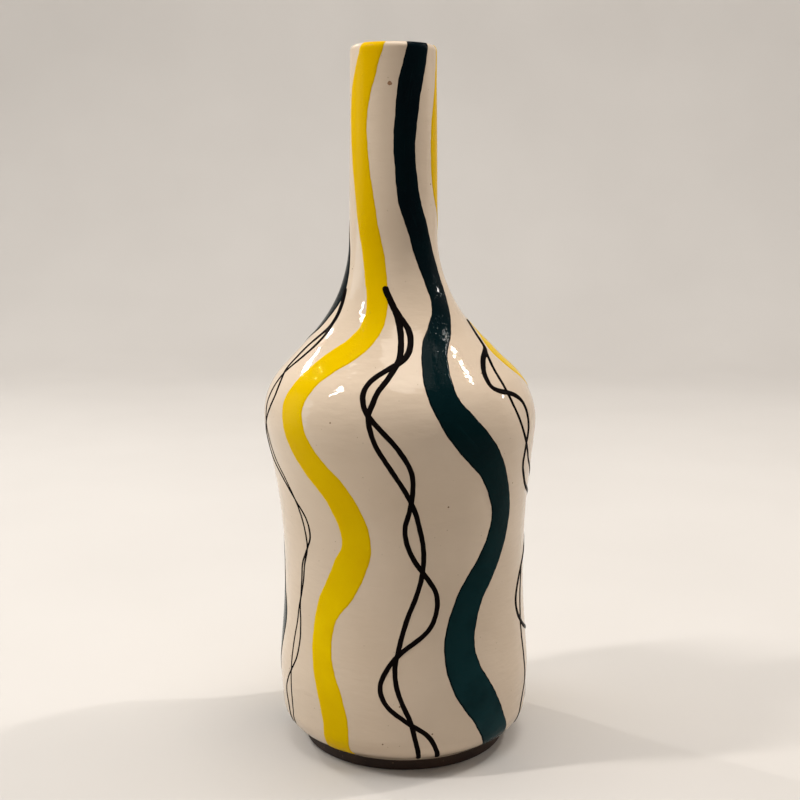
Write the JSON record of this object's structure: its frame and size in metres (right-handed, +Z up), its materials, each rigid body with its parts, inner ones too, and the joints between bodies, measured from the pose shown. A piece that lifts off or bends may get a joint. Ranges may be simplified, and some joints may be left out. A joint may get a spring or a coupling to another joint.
{
  "type": "bottle vase",
  "caption": "Hand-thrown ceramic bottle vase with a waisted body, round shoulder, long narrow neck, off-white glaze and wavy painted stripes with thin twisted lines, for holding a few stems.",
  "frame": {"origin": "middle of the foot ring on the surface that the vase stands on", "axes": "+Z up along the vase's axis, the pictured painted front faces -Y, +X is to the right of that view"},
  "size_m": [0.118, 0.1186, 0.3],
  "materials": {
    "bare_clay": "unglazed dark brown stoneware, matt",
    "white_glaze": "glossy warm off-white glaze with fine specks",
    "liner_glaze": "glossy warm off-white liner glaze",
    "yellow_paint": "glossy mustard yellow brushed glaze paint",
    "teal_paint": "glossy blue-black brushed glaze paint",
    "dark_line_paint": "near-black brushed line, satin"
  },
  "bodies": {
    "root": {"clay_body": "bare_clay", "outer_glaze": "white_glaze", "inner_glaze": "liner_glaze", "yellow_stripe_front": "yellow_paint", "yellow_stripe_right": "yellow_paint", "yellow_stripe_back": "yellow_paint", "teal_stripe_front": "teal_paint", "teal_stripe_left": "teal_paint", "teal_stripe_back": "teal_paint", "twist_line_front": "dark_line_paint", "twist_line_left": "dark_line_paint", "twist_line_right": "dark_line_paint", "twist_line_back_right": "dark_line_paint", "twist_line_back": "dark_line_paint", "twist_line_back_left": "dark_line_paint"}
  },
  "joints": []
}
